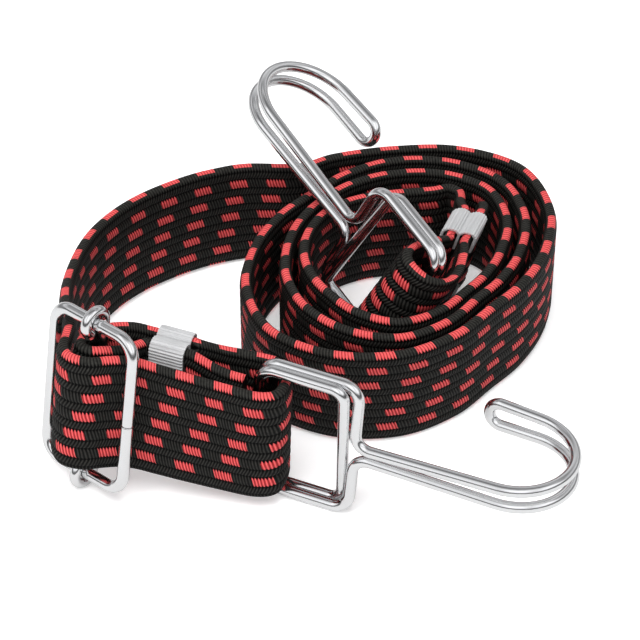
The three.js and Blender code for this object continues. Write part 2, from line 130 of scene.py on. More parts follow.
def catmull_rom(rows, at):
    """Cubic through the rows: with a, b, c, d the four rows round a share w of one step, the value
    is (2b + (c - a)w + (2a - 5b + 4c - d)w^2 + (3b - a - 3c + d)w^3) / 2."""
    rows = np.asarray(rows, float)
    padded = np.vstack([2 * rows[0] - rows[1], rows, 2 * rows[-1] - rows[-2]])
    step = np.clip(np.floor(at).astype(int), 0, len(rows) - 2)
    w = (np.asarray(at) - step)[:, None]
    a, b, c, d = (padded[step + k] for k in range(4))
    return 0.5 * (2 * b + (c - a) * w + (2 * a - 5 * b + 4 * c - d) * w**2 + (3 * b - a - 3 * c + d) * w**3)


coil_at = np.arange(0, coil_steps + 1) * 0.5 + 0.5
coil_radius = catmull_rom(coil_radii[:, None], coil_at)[:, 0]
coil_angle = (coil_at + 1) * eighth_turn
coil_rows = np.column_stack([
    coil_centre[0] + coil_radius * np.cos(coil_angle),
    coil_centre[1] + coil_radius * np.sin(coil_angle),
    np.zeros_like(coil_at), np.zeros_like(coil_at), np.full_like(coil_at, coil_lean)])
route = np.vstack([
    tail_end, clip_pass(rear_clip, rear_clip_heading, -1, True), rear_loop,
    clip_pass(rear_clip, rear_clip_heading, 1, False), hairpin, coil_rows, arc, weave, front_run,
    front_loop, clip_pass(front_clip, front_clip_heading, 1, True), inner_loop,
    clip_pass(front_clip, front_clip_heading, -1, False), front_tail])
route[:, :3] += frame_shift

# Stations along the band, closer together where it bends
fine_per_row = 40
station_count = 940
bend_weight = 0.006
side_step = 0.01
fine_at = np.linspace(0, len(route) - 1, fine_per_row * (len(route) - 1) + 1)
fine = catmull_rom(route, fine_at)
steps = np.diff(fine[:, :3], axis=0)
lengths = np.linalg.norm(steps, axis=1)
turns = np.arctan2(steps[:, 1], steps[:, 0])
bends = np.abs((np.diff(turns, prepend=turns[0]) + math.pi) % (2 * math.pi) - math.pi)
measure = np.concatenate([[0], np.cumsum(lengths + bend_weight * bends)])
run_length = np.concatenate([[0], np.cumsum(lengths)])
stations_at = np.interp(np.linspace(0, measure[-1], station_count), measure, fine_at)
stations = catmull_rom(route, stations_at)
station_length = np.interp(stations_at, fine_at, run_length)
ahead = catmull_rom(route, np.minimum(stations_at + side_step, len(route) - 1))
behind_it = catmull_rom(route, np.maximum(stations_at - side_step, 0))
heading = ahead[:, :2] - behind_it[:, :2]
heading /= np.linalg.norm(heading, axis=1)[:, None]
lean = stations[:, 3:5]
rise = np.sqrt(strap_width**2 - (lean**2).sum(axis=1))

# Section: twelve ribs across the width, every second one a little wider, rounded over at both edges
rib_depth = 0.0005
rib_count = 12
rib_warp = 0.09
rib_fullness = 0.96
edge_fullness = 0.18
points_per_rib = 4
edge_points = 7
face_x = np.linspace(0.5, rib_count - 0.5, points_per_rib * (rib_count - 1) + 1)
off_rib = 2 * np.abs(face_x - np.round(face_x))
face_out = strap_thickness / 2 - rib_depth * (1 - np.sqrt(1 - rib_fullness * off_rib**2))
even_x = np.linspace(0, rib_count, 100 * rib_count + 1)
face_place = np.interp(face_x, even_x - rib_warp * np.sin(np.pi * even_x), even_x)
edge_start = rib_count - face_place[-1]
edge_angle = np.linspace(0, math.pi, edge_points + 2)[1:-1]
edge_reach = edge_start * np.sin(edge_angle)
edge_half = face_out[-1] * np.cos(edge_angle) * (1 + edge_fullness * np.sin(2 * edge_angle) ** 2)
section_across = np.concatenate([-face_out, -edge_half, face_out[::-1], edge_half])
section_ribs = np.concatenate([
    face_place, face_place[-1] + edge_reach, face_place[::-1], edge_start - edge_reach])
section_up = section_ribs * strap_width / rib_count
edge_turn = 2 * edge_start * edge_angle / math.pi
section_share = np.concatenate([
    face_place, face_place[-1] + edge_turn,
    2 * rib_count - face_place[::-1], 2 * rib_count - edge_start + edge_turn]) / rib_count


def on_strap(middle, lean_xy, height, direction, across, up):
    """A point of the band: the middle, plus the sideways direction times across, plus the lean times
    the share of the width less a half, and the height times that share above the lower edge."""
    share = up / strap_width
    side = np.stack([-direction[..., 1], direction[..., 0]], axis=-1)
    xy = middle[..., :2] + side * across[..., None] + lean_xy * (share - 0.5)[..., None]
    return np.concatenate([xy, (middle[..., 2] + height * share)[..., None]], axis=-1)


def tube_faces(ring_count, around, order=(0, 1, 2, 3)):
    """Four-cornered faces between neighbouring rings of points. Gives each corner's point number, and
    its ring and its place round the ring, where the last face's far side has the place after the last."""
    ring, place = np.meshgrid(np.arange(ring_count - 1), np.arange(around), indexing="ij")
    rings_of = np.stack([ring, ring, ring + 1, ring + 1], axis=-1)[..., order]
    places_of = np.stack([place, place + 1, place + 1, place], axis=-1)[..., order]
    return (rings_of * around + places_of % around).reshape(-1, 4), rings_of, places_of


end_face_uv = -1.0


def mesh_from_quads(name, points, faces, uv, end_faces):
    """A mesh from an array of points and an array of four-cornered faces, with flat end faces added.
    The end faces have one UV of their own, which the materials can tell from the rest."""
    mesh = bpy.data.meshes.new(name)
    mesh.from_pydata(points.reshape(-1, 3).tolist(), [], faces.tolist() + [end.tolist() for end in end_faces])
    mesh.polygons.foreach_set("use_smooth", np.array([True] * len(faces) + [False] * len(end_faces)))
    layer = mesh.uv_layers.new(name="UVMap")
    end_corners = sum(len(end) for end in end_faces)
    flat = np.concatenate([uv.reshape(-1, 2), np.full((end_corners, 2), end_face_uv)])
    layer.data.foreach_set("uv", flat.ravel())
    mesh.update()
    obj = bpy.data.objects.new(name, mesh)
    bpy.context.collection.objects.link(obj)
    return obj


# Past the slider the band lies slack, so the dashes there come a little closer together
slack_from, slack_share = 0.955, 0.046
corners = len(section_up)
grid = on_strap(
    stations[:, None, :3], lean[:, None], rise[:, None], heading[:, None], section_across, section_up)
band_faces, ring_of, corner_of = tube_faces(station_count, corners, order=(0, 3, 2, 1))
dash_length = station_length + slack_share * np.maximum(station_length - slack_from, 0)
closed_share = np.append(section_share, 2 + section_share[0])
band_uv = np.stack([dash_length[ring_of], closed_share[corner_of]], axis=-1)
cut_ends = [np.arange(corners), (station_count - 1) * corners + np.arange(corners)[::-1]]
webbing = mesh_from_quads("webbing", grid, band_faces, band_uv, cut_ends)


def feed(tree, socket, value):
    """Links another node's output to the socket, or sets the socket's own value."""
    if isinstance(value, bpy.types.NodeSocket):
        tree.links.new(value, socket)
    else:
        socket.default_value = value


def node(tree, kind, inputs=(), **settings):
    """Adds a shader node, sets its settings, and links or sets its inputs in order."""
    made = tree.nodes.new(kind)
    for key, value in settings.items():
        setattr(made, key, value)
    for index, value in enumerate(inputs):
        feed(tree, made.inputs[index], value)
    return made


def calc(tree, operation, *inputs):
    """One arithmetic step in a shader."""
    return node(tree, "ShaderNodeMath", inputs, operation=operation).outputs[0]


def noise(tree, place, scale, detail=2.0, roughness=0.5):
    """Noise between 0 and 1 at a place."""
    made = node(tree, "ShaderNodeTexNoise", [place])
    feed(tree, made.inputs["Scale"], scale)
    feed(tree, made.inputs["Detail"], detail)
    feed(tree, made.inputs["Roughness"], roughness)
    return made.outputs[0]


def mix(tree, share, low, high, blend="MIX"):
    """A colour between two others, or their product."""
    made = node(tree, "ShaderNodeMix", data_type="RGBA", blend_type=blend)
    feed(tree, made.inputs["Factor"], share)
    feed(tree, made.inputs["A"], low)
    feed(tree, made.inputs["B"], high)
    return made.outputs["Result"]


def bump(tree, height, strength, distance):
    """A normal tilted by a height."""
    made = node(tree, "ShaderNodeBump")
    made.inputs["Strength"].default_value = strength
    made.inputs["Distance"].default_value = distance
    tree.links.new(height, made.inputs["Height"])
    return made.outputs[0]


def object_place(tree):
    """The place in the object's own coordinates."""
    return node(tree, "ShaderNodeTexCoord").outputs["Object"]


def surface_place(tree):
    """The place on the piece's own UV map."""
    return node(tree, "ShaderNodeUVMap", uv_map="UVMap").outputs[0]


# Dashes: their spacing along the band, half their length as a share of it, the step from one red row
# to the next on the two faces, and where the rim's red row stops short of the edge
dash_period, dash_phase = 0.0113, -0.45
dash_half_share = 0.235
row_step, row_step_bias = 0.155, 0.03
rim_gap_place, rim_gap_half = 0.45, 0.29

# Yarn: strokes that slant to and fro from rib to rib, pointed at their sides. Each stroke has a painted
# highlight along its middle and painted shade in the gaps, softer on the upper edge
strokes_per_period = 13
stroke_slant = 1.15
stroke_waver, waver_scale = 0.5, 260.0
fuzz_scale, fuzz_detail = 1500.0, 3.0
leaf_width, leaf_taper, dash_narrowing = 0.50, 0.22, 0.03
leaf_rim = (-0.03, 0.07)
face_contrast, edge_contrast, edge_row = 1.5, 0.7, 0.3
# Yarn colours: painted shade for the gaps between strokes; at a stroke's middle a painted highlight on the
# black, and the red's own colour on the red
black_painted_shade, black_painted_highlight = (0.0008, 0.0008, 0.0008, 1), (0.040, 0.039, 0.035, 1)
red_painted_shade, red_light = (0.22, 0.006, 0.010, 1), (0.80, 0.115, 0.115, 1)
black_fuzz, black_base = 1.2, 0.2
red_fuzz, red_base = 0.8, 0.75
yarn_relief, fuzz_relief = 0.8, 0.25


def woven_elastic():
    """Webbing: with the length in dash periods and the place round the band in ribs, each rib is a row
    of strokes, with a painted highlight in the middle of a stroke and painted shade between strokes,
    and red where the row's dash lies."""
    material = bpy.data.materials.new("webbing")
    material.use_nodes = True
    t = material.node_tree
    shader = t.nodes["Principled BSDF"]
    uv_split = node(t, "ShaderNodeSeparateXYZ", [surface_place(t)])
    length, share = uv_split.outputs[0], uv_split.outputs[1]
    fuzz = noise(t, object_place(t), fuzz_scale, fuzz_detail)
    waver = noise(t, object_place(t), waver_scale)

    # Ribs, and the place across a rib
    periods = calc(t, "ADD", calc(t, "DIVIDE", length, dash_period), dash_phase)
    even_rib = calc(t, "MULTIPLY", share, float(rib_count))
    warp = calc(t, "SINE", calc(t, "MULTIPLY", even_rib, math.pi))
    rib = calc(t, "MULTIPLY_ADD", warp, -rib_warp, even_rib)
    nearest_rib = calc(t, "ROUND", rib)
    off_this_rib = calc(t, "SUBTRACT", rib, nearest_rib)
    side_of_rib = calc(t, "ABSOLUTE", off_this_rib)

    # Strokes, slanting one way on even ribs and the other way on odd ones
    odd_half = calc(t, "FRACT", calc(t, "MULTIPLY", nearest_rib, 0.5))
    parity = calc(t, "SUBTRACT", calc(t, "MULTIPLY", odd_half, 4.0), 1.0)
    slant = calc(t, "MULTIPLY", off_this_rib, calc(t, "MULTIPLY", parity, -stroke_slant))
    straight = calc(t, "MULTIPLY_ADD", periods, float(strokes_per_period), slant)
    stroke = calc(t, "ADD", straight, calc(t, "MULTIPLY", waver, stroke_waver))
    off_stroke = calc(t, "ABSOLUTE", calc(t, "SUBTRACT", calc(t, "FRACT", stroke), 0.5))
    stroke_side = calc(t, "MULTIPLY", off_stroke, 2.0)

    # Dashes on every second rib, counted from the upper edge
    row = calc(t, "MULTIPLY", calc(t, "ABSOLUTE", calc(t, "SUBTRACT", rib, float(rib_count))), 0.5)
    face_sign = calc(t, "SIGN", calc(t, "SUBTRACT", share, 1.0))
    near_row = calc(t, "ROUND", row)
    on_row = calc(t, "LESS_THAN", calc(t, "ABSOLUTE", calc(t, "SUBTRACT", row, near_row)), 0.25)
    step_here = calc(t, "MULTIPLY_ADD", face_sign, -row_step, row_step_bias)
    row_shift = calc(t, "MULTIPLY", near_row, step_here)
    slant_shift = calc(t, "DIVIDE", slant, float(strokes_per_period))
    shifted = calc(t, "ADD", calc(t, "ADD", periods, row_shift), slant_shift)
    dash_turn = calc(t, "FRACT", calc(t, "ADD", shifted, 0.25))
    off_dash = calc(t, "ABSOLUTE", calc(t, "SUBTRACT", dash_turn, 0.5))
    past_rim = calc(t, "ABSOLUTE", calc(t, "SUBTRACT", rib, rib_count + rim_gap_place))
    past_foot = calc(t, "ABSOLUTE", calc(t, "SUBTRACT", rib, 2 * rib_count + rim_gap_place))
    on_red_side = calc(t, "GREATER_THAN", calc(t, "MINIMUM", past_rim, past_foot), rim_gap_half)
    on_cloth = calc(t, "MULTIPLY", on_red_side, calc(t, "GREATER_THAN", share, end_face_uv / 2))
    in_dash = calc(t, "MULTIPLY", calc(t, "LESS_THAN", off_dash, dash_half_share), on_row)
    dash = calc(t, "MULTIPLY", in_dash, on_cloth)

    # Painted highlight along the middle of each stroke, painted shade in the gaps
    leaf_reach = calc(
        t, "ADD", calc(t, "MULTIPLY_ADD", stroke_side, -leaf_taper, leaf_width),
        calc(t, "MULTIPLY", dash, -dash_narrowing))
    inside_leaf = calc(t, "SUBTRACT", leaf_reach, side_of_rib)
    leaf = node(t, "ShaderNodeMapRange", [inside_leaf, *leaf_rim], interpolation_type="SMOOTHSTEP").outputs[0]
    # On the upper edge the painted highlight falls off more gently across each stroke
    on_edge = calc(t, "LESS_THAN", row, edge_row)
    contrast = calc(t, "MULTIPLY_ADD", on_edge, edge_contrast - face_contrast, face_contrast)
    yarn_light = calc(
        t, "MULTIPLY", calc(t, "POWER", calc(t, "SUBTRACT", 1.0, stroke_side), contrast), leaf)
    black_level = calc(t, "MULTIPLY", yarn_light, calc(t, "MULTIPLY_ADD", fuzz, black_fuzz, black_base))
    red_level = calc(t, "MULTIPLY", yarn_light, calc(t, "MULTIPLY_ADD", fuzz, red_fuzz, red_base))
    # Colour from painted shade in the gaps to the painted highlight or the red at each stroke's middle
    black = mix(t, black_level, black_painted_shade, black_painted_highlight)
    red = mix(t, red_level, red_painted_shade, red_light)
    yarn = mix(t, calc(t, "MULTIPLY", dash, leaf), black, red)
    t.links.new(yarn, shader.inputs["Base Color"])
    shader.inputs["Roughness"].default_value = 0.6
    shader.inputs["Specular IOR Level"].default_value = 0.1
    yarn_height = calc(t, "MULTIPLY", yarn_light, yarn_relief)
    relief = calc(t, "ADD", yarn_height, calc(t, "MULTIPLY", fuzz, fuzz_relief))
    t.links.new(bump(t, relief, strength=0.8, distance=0.00022), shader.inputs["Normal"])
    return material


webbing.data.materials.append(woven_elastic())
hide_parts("strap_rear_loop", "strap_coil", "strap_arc", "strap_run")
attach(webbing, "strap")

# Front hook: one plated wire of about 3 mm. Its two ends are wound into a ring of two turns and meet
# inside the webbing's loop; the rest is bent double as the shank, with its bend open to the side.
hook_wire = 0.0032
wire_pitch = 0.0033
ring_length, ring_height, ring_inset = 0.026, 0.040, 0.0014
ring_corner, ring_end_corner, neck_corner, tip_corner = 0.005, 0.004, 0.0045, 0.0036
shank_length, shank_shift = 0.041, -0.001
bend_radius, return_length = 0.016, 0.014
mouth_flare = math.radians(4)
bend_spread, tip_spread = 0.003, 0.0038
butt_gap = 0.00012
arc_step = math.radians(7)


def rounded_path(corner_list):
    """Straight lines between the corners, each corner replaced by an arc of its radius that touches
    both lines."""
    at = np.array([row[:3] for row in corner_list])
    points = [at[0]]
    for index in range(1, len(at) - 1):
        to_before = at[index - 1] - at[index]
        to_after = at[index + 1] - at[index]
        to_before /= np.linalg.norm(to_before)
        to_after /= np.linalg.norm(to_after)
        opening = math.acos(float(np.clip(to_before @ to_after, -1, 1)))
        turn = math.pi - opening
        radius = corner_list[index][3]
        inward = to_before + to_after
        inward /= np.linalg.norm(inward)
        centre = at[index] + inward * radius / math.sin(opening / 2)
        start = at[index] + to_before * radius / math.tan(opening / 2) - centre
        end = at[index] + to_after * radius / math.tan(opening / 2) - centre
        share = np.linspace(0, 1, max(2, math.ceil(turn / arc_step)) + 1)[:, None]
        arc_points = (np.sin((1 - share) * turn) * start + np.sin(share * turn) * end) / math.sin(turn)
        points.extend(centre + arc_points)
    points.append(at[-1])
    return np.array(points)


same_place = 1e-6
support_reach, clear_reach = 3, 4
nearly_upright = 0.9


def wire_mesh(name, points, radius, sides=40, end_round=0.25):
    """A round wire along the points. Each ring stands square to the mean of the two directions that
    meet there, and is carried from the one before by the least turn. Both ends are rounded off by a
    share of the radius, and have a further ring close behind that keeps the shading even."""
    points = np.asarray(points, float)
    apart = np.linalg.norm(np.diff(points, axis=0), axis=1) > same_place
    points = points[np.concatenate([[True], apart])]
    shrink = end_round * radius
    first_line, last_line = points[1] - points[0], points[-1] - points[-2]
    first_line /= np.linalg.norm(first_line)
    last_line /= np.linalg.norm(last_line)
    clear = (np.linalg.norm(points - points[0], axis=1) > clear_reach * shrink) & (
        np.linalg.norm(points - points[-1], axis=1) > clear_reach * shrink)
    points = np.vstack([
        points[0], points[0] + first_line * shrink, points[0] + first_line * support_reach * shrink,
        points[clear],
        points[-1] - last_line * support_reach * shrink, points[-1] - last_line * shrink, points[-1]])
    lines = np.diff(points, axis=0)
    lines /= np.linalg.norm(lines, axis=1)[:, None]
    tangents = np.vstack([lines[:1], lines[:-1] + lines[1:], lines[-1:]])
    tangents /= np.linalg.norm(tangents, axis=1)[:, None]
    radii = np.full(len(points), radius)
    radii[[0, -1]] = radius - shrink
    aside = [0.0, 0.0, 1.0] if abs(tangents[0][2]) < nearly_upright else [1.0, 0.0, 0.0]
    first = np.cross(tangents[0], aside)
    normals = [first / np.linalg.norm(first)]
    for tangent in tangents[1:]:
        carried = normals[-1] - tangent * (normals[-1] @ tangent)
        normals.append(carried / np.linalg.norm(carried))
    normals = np.array(normals)
    sideways = np.cross(tangents, normals)
    angle = np.linspace(0, 2 * math.pi, sides, endpoint=False)[None, :, None]
    rings_at = points[:, None] + radii[:, None, None] * (
        normals[:, None] * np.cos(angle) + sideways[:, None] * np.sin(angle))
    faces, ring_of, side_of = tube_faces(len(points), sides)
    wire_length = np.concatenate([[0], np.cumsum(np.linalg.norm(np.diff(points, axis=0), axis=1))])
    uv = np.stack([wire_length[ring_of], side_of / sides], axis=-1)
    ends = [np.arange(sides)[::-1], (len(points) - 1) * sides + np.arange(sides)]
    return mesh_from_quads(name, rings_at, faces, uv, ends)


def hook_path():
    """The hook's wire in its own axes: X from the ring's bar towards the bend, Y towards the open
    side, Z along the bar; the origin is the middle of the bar."""
    half, pitch = ring_height / 2, wire_pitch / 2
    inner_x = ring_length - ring_inset
    neck_x = inner_x + wire_pitch
    bend_x = ring_length + shank_length + bend_radius + pitch
    rise_left = bend_radius * (1 - math.sin(mouth_flare))
    turn_y = bend_radius + bend_radius * math.cos(mouth_flare) - rise_left * math.tan(mouth_flare)
    tip_x = bend_x - (bend_radius + return_length) * math.cos(mouth_flare)
    tip_y = turn_y + (bend_radius + return_length) * math.sin(mouth_flare)
    return rounded_path([
        (0, pitch, butt_gap / 2, 0),
        (0, pitch, half, ring_corner),
        (neck_x, pitch, half, ring_corner),
        (neck_x, 0, shank_shift + pitch, neck_corner),
        (bend_x, 0, shank_shift + bend_spread, bend_radius),
        (bend_x, turn_y, shank_shift + bend_spread, bend_radius),
        (tip_x, tip_y, shank_shift + tip_spread, tip_corner),
        (tip_x, tip_y, shank_shift - tip_spread, tip_corner),
        (bend_x, turn_y, shank_shift - bend_spread, bend_radius),
        (bend_x, 0, shank_shift - bend_spread, bend_radius),
        (neck_x, 0, shank_shift - pitch, neck_corner),
        (neck_x, -pitch, -half, ring_corner),
        (0, -pitch, -half, ring_corner),
        (0, -pitch, half, ring_corner),
        (inner_x, -pitch, half, ring_end_corner),
        (inner_x, pitch, -half, ring_end_corner),
        (0, pitch, -half, ring_corner),
        (0, pitch, -butt_gap / 2, 0)])


def to_place(points, along, across, origin):
    """Points from a piece's own axes to the frame's: its X along the first direction, its Z square to
    that and the second, its origin moved to its place."""
    x = np.array(along) / np.linalg.norm(along)
    z = np.cross(x, across)
    z /= np.linalg.norm(z)
    return frame_shift + np.array(origin) + points @ np.array([x, np.cross(z, x), z])


steel_dull, steel_bright = (0.80, 0.805, 0.81, 1), (0.90, 0.905, 0.91, 1)
steel_roughness, steel_roughness_change = 0.12, 0.05
grain_scale, grain_detail = 120.0, 4.0
draw_line_stretch, draw_line_detail, draw_line_roughness = (60.0, 24.0, 1.0), 2.0, 0.5


def metal_streaks():
    """Shader group for the lines that working leaves on metal: noise between 0 and 1, stretched by
    its own factor each way over the place on the surface."""
    group = bpy.data.node_groups.new("metal_streaks", "ShaderNodeTree")
    for socket_name, kind in (
            ("Place", "NodeSocketVector"), ("Stretch", "NodeSocketVector"),
            ("Detail", "NodeSocketFloat"), ("Roughness", "NodeSocketFloat")):
        group.interface.new_socket(socket_name, in_out="INPUT", socket_type=kind)
    group.interface.new_socket("Streaks", in_out="OUTPUT", socket_type="NodeSocketFloat")
    given = node(group, "NodeGroupInput").outputs
    stretched = node(group, "ShaderNodeVectorMath", [given["Place"], given["Stretch"]], operation="MULTIPLY")
    streaks = noise(group, stretched.outputs[0], 1.0, given["Detail"], given["Roughness"])
    node(group, "NodeGroupOutput", [streaks])
    return group


streak_group = metal_streaks()


def plated_wire():
    """Zinc-plated steel wire: bright metal, faintly clouded, with fine lines from drawing along it."""
    material = bpy.data.materials.new("plated_wire")
    material.use_nodes = True
    t = material.node_tree
    shader = t.nodes["Principled BSDF"]
    shader.inputs["Metallic"].default_value = 1.0
    grain = noise(t, object_place(t), grain_scale, grain_detail)
    t.links.new(mix(t, grain, steel_dull, steel_bright), shader.inputs["Base Color"])
    roughness = calc(t, "MULTIPLY_ADD", grain, steel_roughness_change, steel_roughness)
    t.links.new(roughness, shader.inputs["Roughness"])
    drawing = [surface_place(t), draw_line_stretch, draw_line_detail, draw_line_roughness]
    draw_lines = node(t, "ShaderNodeGroup", drawing, node_tree=streak_group).outputs["Streaks"]
    t.links.new(bump(t, draw_lines, strength=0.03, distance=0.00002), shader.inputs["Normal"])
    return material


steel = plated_wire()
front_place = ((0.92, -0.391, -0.02), (0.389, 0.9185, -0.071), front_hook_at)
front_hook = wire_mesh("front_hook_wire", to_place(hook_path(), *front_place), hook_wire / 2)
front_hook.data.materials.append(steel)
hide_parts("front_hook")
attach(front_hook, "front_hook")

# Rear hook: the same plated wire in the same form. Its ring hangs in the coil's hollow, held by the
# webbing's rear loop, and its shank lies over the coil's rims.
rear_place = ((-0.58, 0.733, 0.355), (0.672, 0.677, -0.3), (0.0249, -0.0228, 0.0257))
rear_hook = wire_mesh("rear_hook_wire", to_place(hook_path(), *rear_place), hook_wire / 2)
rear_hook.data.materials.append(steel)
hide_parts("rear_hook")
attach(rear_hook, "rear_hook")

# Slider frame: one plated wire of 3.5 mm bent to a rectangle; its two ends meet about half way down one
# upright. The webbing weaves through it, over its own end loop on the bar.
frame_wire = 0.0035
frame_width, frame_height, frame_corner = 0.029, 0.047, 0.0055
butt_height = -0.04 * frame_height
half_w, half_h = frame_width / 2, frame_height / 2
frame_path = rounded_path([
    (half_w, 0, butt_height + butt_gap / 2, 0),
    (half_w, 0, half_h, frame_corner),
    (-half_w, 0, half_h, frame_corner),
    (-half_w, 0, -half_h, frame_corner),
    (half_w, 0, -half_h, frame_corner),
    (half_w, 0, butt_height - butt_gap / 2, 0)])
slider_place = ((0.746, -0.663, 0.059), (0.658, 0.7215, -0.213), (-0.0626, -0.0644, 0.02797))
slider_frame = wire_mesh(
    "slider_frame_wire", to_place(frame_path, *slider_place), frame_wire / 2, sides=44, end_round=0.08)
slider_frame.data.materials.append(steel)
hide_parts("slider_frame")
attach(slider_frame, "slider_frame")

# Slider bar: a 3 mm wire through the webbing's end loop, each end curled round a short side of the
# frame. The curls are open, so that the frame can be hooked in.
bar_wire = 0.003
eye_gap = 0.0003
eye_turn, eye_points = math.radians(255), 40
eye_radius = frame_wire / 2 + eye_gap + bar_wire / 2
turned = np.linspace(eye_turn, 0, eye_points)
eye_y, eye_z = eye_radius * np.cos(turned), half_h + eye_radius * np.sin(turned)
upper_eye = np.column_stack([0 * turned, eye_y, eye_z])
lower_eye = np.column_stack([0 * turned, eye_y[::-1], -eye_z[::-1]])
bar_path = np.vstack([upper_eye, lower_eye])
slider_bar = wire_mesh("slider_bar_wire", to_place(bar_path, *slider_place), bar_wire / 2)
slider_bar.data.materials.append(steel)
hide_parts("slider_bar")
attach(slider_bar, "slider_bar")

# Clips: ridged aluminium sheet folded over both layers of the webbing, a lobe over each, pressed
# on at the upper and the lower edge. The ridges run along the webbing.
clip_sheet = 0.0007
clip_fit = 0.0003
clip_channel = strap_thickness + 2 * clip_fit
lobe_half = clip_channel / 2 + clip_sheet
outer_half = layer_spacing / 2 + lobe_half
leg_depth = 0.0065
lobe_height, lobe_foot = 0.0023, -0.0013
notch_half, notch_depth = 0.0002, 0.0001
ridge_pitch, ridge_depth = 0.00095, 0.00022
outline_points = 60
roof_chamfer = 0.0011
seam_width = 0.001


def clip_outline():
    """The clip's cross-section, as places across and above the band's edge. Outside, a straight leg and
    half an ellipse over each layer, drawn in by depth (1 - cos(2 pi length / pitch)) / 2 for the
    ridges, and mirrored. Inside, a channel with chamfered corners for each layer."""
    leg_up = np.linspace(-leg_depth, lobe_foot, outline_points)[:-1]
    leg = np.column_stack([np.full_like(leg_up, outer_half), leg_up])
    angle = np.linspace(0, math.pi, outline_points)
    lobe_across = layer_spacing / 2 + lobe_half * np.cos(angle)
    lobe_up = lobe_foot + lobe_height * np.sin(angle)
    lobe = np.column_stack([lobe_across, lobe_up])[lobe_across > notch_half]
    right = np.vstack([leg, lobe])
    length = np.concatenate([[0], np.cumsum(np.linalg.norm(np.diff(right, axis=0), axis=1))])
    outward = np.column_stack([np.gradient(right[:, 1]), -np.gradient(right[:, 0])])
    outward /= np.linalg.norm(outward, axis=1)[:, None]
    ridges = ridge_depth * (0.5 - 0.5 * np.cos(2 * np.pi * length / ridge_pitch))
    right = right - outward * ridges[:, None]
    notch = [[0.0, right[-1, 1] - notch_depth]]
    inner_x = outer_half - clip_sheet
    core = (layer_spacing - clip_channel) / 2
    under_right = np.array([
        [core, -leg_depth], [core, clip_fit - roof_chamfer], [core + roof_chamfer, clip_fit],
        [inner_x - roof_chamfer, clip_fit], [inner_x, clip_fit - roof_chamfer], [inner_x, -leg_depth]])
    return np.vstack([right, notch, right[::-1] * [-1, 1], under_right[::-1] * [-1, 1], under_right])


# Clip colours from dark to bright streaks: partly the press's scoring, partly painted shade and painted sheen
clip_scoring_and_shade, clip_scoring_and_sheen = (0.40, 0.403, 0.407, 1), (0.90, 0.905, 0.91, 1)
clip_roughness, clip_roughness_change = 0.33, 0.2
streak_stretch, streak_detail, streak_roughness = (90.0, 900.0, 1.0), 5.0, 0.75


def pressed_aluminium():
    """Aluminium sheet, half dulled, streaked along the ridges where the press has scored it. The streaks in
    the colour are partly that scoring and partly painted sheen and painted shade.
    """
    material = bpy.data.materials.new("clip_sheet")
    material.use_nodes = True
    t = material.node_tree
    shader = t.nodes["Principled BSDF"]
    shader.inputs["Metallic"].default_value = 0.5
    pressing = [surface_place(t), streak_stretch, streak_detail, streak_roughness]
    streaks = node(t, "ShaderNodeGroup", pressing, node_tree=streak_group).outputs["Streaks"]
    # Painted sheen and painted shade streaks, along with the scoring, in the colour
    t.links.new(mix(t, streaks, clip_scoring_and_shade, clip_scoring_and_sheen), shader.inputs["Base Color"])
    roughness = calc(t, "MULTIPLY_ADD", streaks, clip_roughness_change, clip_roughness)
    t.links.new(roughness, shader.inputs["Roughness"])
    t.links.new(bump(t, streaks, strength=0.4, distance=0.00005), shader.inputs["Normal"])
    return material


def clip_mesh(name, clip, direction, at_top):
    """The outline carried along the band in four steps, its first and last drawn in a little, and set
    over the upper edge, or upside down under the lower one."""
    sign, edge = (1, strap_width) if at_top else (-1, 0.0)
    profile = outline if at_top else outline[::-1]
    facing = np.array(direction) / np.linalg.norm(direction)
    middle = frame_shift + np.array(clip[:3]) + clip_steps[:, None] * np.append(facing, 0)
    lean_clip = np.array(clip[3:5])
    rise_clip = math.sqrt(strap_width**2 - float(lean_clip @ lean_clip))
    body = on_strap(
        middle[:, None], lean_clip, rise_clip, facing,
        profile[None, :, 0] * clip_draw[:, None], edge + sign * profile[:, 1])
    around = len(profile)
    faces, ring_of, place_of = tube_faces(len(clip_steps), around)
    round_length = np.concatenate([[0], np.cumsum(np.linalg.norm(np.diff(profile, axis=0), axis=1))])
    closed_length = np.append(round_length, round_length[-1] + seam_width)
    uv = np.stack([clip_steps[ring_of], closed_length[place_of]], axis=-1)
    ends = [np.arange(around)[::-1], (len(clip_steps) - 1) * around + np.arange(around)]
    clip_obj = mesh_from_quads(name, body, faces, uv, ends)
    clip_obj.data.polygons.foreach_set("use_smooth", np.zeros(len(clip_obj.data.polygons), bool))
    return clip_obj


outline = clip_outline()
clip_steps = clip_length * np.array([-0.5, -0.46, 0.46, 0.5])
clip_draw = np.array([0.97, 1.0, 1.0, 0.97])
aluminium = pressed_aluminium()
for clip_name, clip, direction, at_top in (
        ("slider_clip_top", front_clip, front_clip_heading, True),
        ("slider_clip_bottom", front_clip, front_clip_heading, False),
        ("rear_clip_top", rear_clip, rear_clip_heading, True),
        ("rear_clip_bottom", rear_clip, rear_clip_heading, False)):
    clip_obj = clip_mesh(clip_name + "_sheet", clip, direction, at_top)
    clip_obj.data.materials.append(aluminium)
    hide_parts(clip_name)
    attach(clip_obj, "strap")

